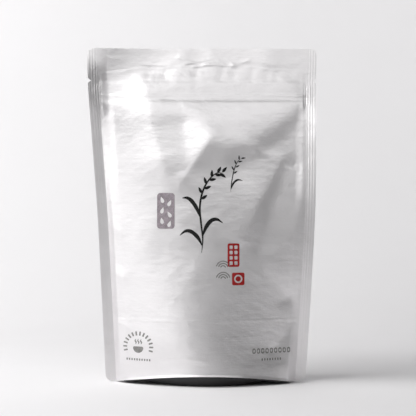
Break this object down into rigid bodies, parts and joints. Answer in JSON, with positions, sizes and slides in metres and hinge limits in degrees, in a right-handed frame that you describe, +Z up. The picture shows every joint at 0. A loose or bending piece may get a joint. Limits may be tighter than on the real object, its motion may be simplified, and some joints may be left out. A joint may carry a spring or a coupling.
{
  "type": "stand-up snack pouch",
  "caption": "Filled, sealed stand-up film pouch for rice crackers, with a press-to-close zip under its top seal, tear notches and a dark gusset base.",
  "frame": {"origin": "on the surface it stands on, under the middle of the gusset's flat underside", "axes": "+Z up the pouch, the front panel faces -Y, +X runs along the zip to the right of someone facing the front"},
  "size_m": [0.161, 0.0645, 0.2335],
  "materials": {
    "pouch_film": "satin white pearl film over foil, matt laminate",
    "gusset_film": "matt black film",
    "ink_black": "black printing ink under matt laminate",
    "ink_grey": "grey printing ink under matt laminate",
    "ink_mauve": "mauve grey printing ink under matt laminate",
    "ink_red": "vermilion printing ink under matt laminate"
  },
  "bodies": {
    "root": {"pouch": "pouch_film", "gusset": "gusset_film"}
  },
  "joints": []
}
